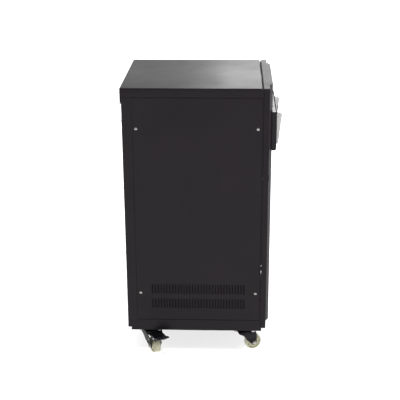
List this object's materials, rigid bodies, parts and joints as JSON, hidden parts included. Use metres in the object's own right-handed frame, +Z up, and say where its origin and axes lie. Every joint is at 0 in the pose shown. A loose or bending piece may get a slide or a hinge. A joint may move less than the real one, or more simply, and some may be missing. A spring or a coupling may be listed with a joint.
{
  "type": "tennis ball machine",
  "caption": "Wheeled steel cabinet that feeds tennis balls from a lidded hopper to two counter-turning wheels and throws them through a port in its front door.",
  "frame": {"origin": "on the floor, under the middle of the bounding box", "axes": "+Z up, the throwing port and controls face -Y, +X across the width"},
  "size_m": [0.508, 0.4622, 0.83],
  "materials": {
    "powder_coat": "satin",
    "black_plastic": "satin",
    "grey_plastic": "satin",
    "button_plastic": "satin",
    "accent_plastic": "gloss",
    "display_glass": "gloss",
    "zinc": "satin",
    "motor_steel": "satin",
    "rubber": "matte",
    "nylon": "satin",
    "hopper_plastic": "satin",
    "circuit": "satin"
  },
  "bodies": {
    "cabinet": {"left_side_frame": "powder_coat", "right_side_frame": "powder_coat", "left_side_panel": "powder_coat", "right_side_panel": "powder_coat", "back_panel": "powder_coat", "floor_plate": "powder_coat", "base_plinth": "powder_coat", "front_top_rail": "powder_coat", "lid_hinge_fixed_leaf": "zinc", "door_pivot_bottom": "zinc", "door_pivot_top": "zinc", "hopper_bin": "hopper_plastic", "feed_gearmotor": "motor_steel", "drop_tube": "hopper_plastic", "launcher_shelf": "powder_coat", "tilt_stand": "motor_steel", "battery": "black_plastic", "power_supply": "zinc", "control_board": "circuit", "fan_frame": "black_plastic", "power_inlet": "black_plastic", "front_left_caster_plate": "powder_coat", "front_right_caster_plate": "powder_coat", "rear_left_caster_plate": "powder_coat", "rear_right_caster_plate": "powder_coat"},
    "lid": {"lid": "powder_coat", "lid_hinge_moving_leaf": "zinc"},
    "door": {"front_door": "powder_coat", "port_liner": "black_plastic", "console_housing": "black_plastic", "console_bezel": "grey_plastic", "display_window": "display_glass"},
    "lock": {"lock_cam": "zinc"},
    "start_button": {"start_button": "accent_plastic"},
    "stop_button": {"stop_button": "button_plastic"},
    "mode_button": {"mode_button": "button_plastic"},
    "speed_knob": {"speed_knob": "grey_plastic"},
    "feed_rate_knob": {"feed_rate_knob": "grey_plastic"},
    "feed_disc": {"feed_disc": "accent_plastic"},
    "cradle": {"launcher_cradle": "motor_steel", "feed_ramp": "hopper_plastic", "upper_wheel_motor": "black_plastic", "lower_wheel_motor": "black_plastic"},
    "upper_wheel": {"upper_throwing_tyre": "rubber", "upper_throwing_hub": "zinc"},
    "lower_wheel": {"lower_throwing_tyre": "rubber", "lower_throwing_hub": "zinc"},
    "tilt_clamp_knob": {"tilt_clamp_knob": "black_plastic"},
    "fan_rotor": {"fan_rotor": "black_plastic"},
    "power_switch": {"power_switch": "accent_plastic"},
    "front_left_fork": {"front_left_caster_fork": "powder_coat"},
    "front_left_roller": {"front_left_caster_wheel": "nylon"},
    "front_right_fork": {"front_right_caster_fork": "powder_coat"},
    "front_right_roller": {"front_right_caster_wheel": "nylon"},
    "rear_left_fork": {"rear_left_caster_fork": "powder_coat"},
    "rear_left_roller": {"rear_left_caster_wheel": "nylon"},
    "rear_left_brake": {"rear_left_brake_pedal": "powder_coat"},
    "rear_right_fork": {"rear_right_caster_fork": "powder_coat"},
    "rear_right_roller": {"rear_right_caster_wheel": "nylon"},
    "rear_right_brake": {"rear_right_brake_pedal": "powder_coat"}
  },
  "joints": [
    {"name": "lid_hinge", "type": "hinge", "parent": "cabinet", "child": "lid", "pos_m": [0, 0.22836, 0.7815], "axis": [-1, 0, 0], "range_deg": [0, 100]},
    {"name": "door_hinge", "type": "hinge", "parent": "cabinet", "child": "door", "pos_m": [0.192, -0.18314, 0.45], "axis": [0, 0, 1], "range_deg": [0, 105]},
    {"name": "lock_turn", "type": "hinge", "parent": "door", "child": "lock", "pos_m": [-0.172, -0.18114, 0.56], "axis": [0, -1, 0], "range_deg": [0, 90]},
    {"name": "start_press", "type": "slide", "parent": "door", "child": "start_button", "axis": [0, 1, 0], "range_m": [0, 0.0015], "stiffness_N_per_m": 700, "springref_m": -0.001},
    {"name": "stop_press", "type": "slide", "parent": "door", "child": "stop_button", "axis": [0, 1, 0], "range_m": [0, 0.0015], "stiffness_N_per_m": 700, "springref_m": -0.001},
    {"name": "mode_press", "type": "slide", "parent": "door", "child": "mode_button", "axis": [0, 1, 0], "range_m": [0, 0.0015], "stiffness_N_per_m": 700, "springref_m": -0.001},
    {"name": "speed_turn", "type": "hinge", "parent": "door", "child": "speed_knob", "pos_m": [-0.068, -0.22114, 0.7055], "axis": [0, -1, 0], "range_deg": [-135, 135]},
    {"name": "feed_rate_turn", "type": "hinge", "parent": "door", "child": "feed_rate_knob", "pos_m": [0.068, -0.22114, 0.7055], "axis": [0, -1, 0], "range_deg": [-135, 135]},
    {"name": "feed_spin", "type": "hinge", "parent": "cabinet", "child": "feed_disc", "pos_m": [0, -0.00414, 0.66], "axis": [0, 0, 1], "continuous": true},
    {"name": "cradle_tilt", "type": "hinge", "parent": "cabinet", "child": "cradle", "pos_m": [0, -0.04114, 0.4], "axis": [-1, 0, 0], "range_deg": [-5, 20]},
    {"name": "upper_wheel_spin", "type": "hinge", "parent": "cradle", "child": "upper_wheel", "pos_m": [0, -0.04114, 0.492], "axis": [1, 0, 0], "continuous": true},
    {"name": "lower_wheel_spin", "type": "hinge", "parent": "cradle", "child": "lower_wheel", "pos_m": [0, -0.04114, 0.308], "axis": [1, 0, 0], "continuous": true},
    {"name": "tilt_clamp_turn", "type": "hinge", "parent": "cradle", "child": "tilt_clamp_knob", "pos_m": [-0.159, -0.04114, 0.4], "axis": [1, 0, 0], "range_deg": [0, 120]},
    {"name": "fan_spin", "type": "hinge", "parent": "cabinet", "child": "fan_rotor", "pos_m": [0.095, 0.20856, 0.19], "axis": [0, 1, 0], "continuous": true},
    {"name": "power_switch_rock", "type": "hinge", "parent": "cabinet", "child": "power_switch", "pos_m": [-0.094, 0.22266, 0.165], "axis": [1, 0, 0], "range_deg": [0, 11]},
    {"name": "front_left_swivel", "type": "hinge", "parent": "cabinet", "child": "front_left_fork", "pos_m": [-0.164, -0.12814, 0.07], "axis": [0, 0, 1], "continuous": true},
    {"name": "front_left_roll", "type": "hinge", "parent": "front_left_fork", "child": "front_left_roller", "pos_m": [-0.15477, -0.15351, 0.025], "axis": [0.9397, 0.342, 0], "continuous": true},
    {"name": "front_right_swivel", "type": "hinge", "parent": "cabinet", "child": "front_right_fork", "pos_m": [0.164, -0.12814, 0.07], "axis": [0, 0, 1], "continuous": true},
    {"name": "front_right_roll", "type": "hinge", "parent": "front_right_fork", "child": "front_right_roller", "pos_m": [0.15477, -0.15351, 0.025], "axis": [0.9397, -0.342, 0], "continuous": true},
    {"name": "rear_left_swivel", "type": "hinge", "parent": "cabinet", "child": "rear_left_fork", "pos_m": [-0.164, 0.15986, 0.07], "axis": [0, 0, 1], "continuous": true},
    {"name": "rear_left_roll", "type": "hinge", "parent": "rear_left_fork", "child": "rear_left_roller", "pos_m": [-0.18738, 0.14636, 0.025], "axis": [0.5, -0.866, 0], "continuous": true},
    {"name": "rear_left_brake_press", "type": "hinge", "parent": "rear_left_fork", "child": "rear_left_brake", "pos_m": [-0.18998, 0.14486, 0.058], "axis": [0.5, -0.866, 0], "range_deg": [0, 10]},
    {"name": "rear_right_swivel", "type": "hinge", "parent": "cabinet", "child": "rear_right_fork", "pos_m": [0.164, 0.15986, 0.07], "axis": [0, 0, 1], "continuous": true},
    {"name": "rear_right_roll", "type": "hinge", "parent": "rear_right_fork", "child": "rear_right_roller", "pos_m": [0.18738, 0.14636, 0.025], "axis": [0.5, 0.866, 0], "continuous": true},
    {"name": "rear_right_brake_press", "type": "hinge", "parent": "rear_right_fork", "child": "rear_right_brake", "pos_m": [0.18998, 0.14486, 0.058], "axis": [0.5, 0.866, 0], "range_deg": [0, 10]}
  ]
}
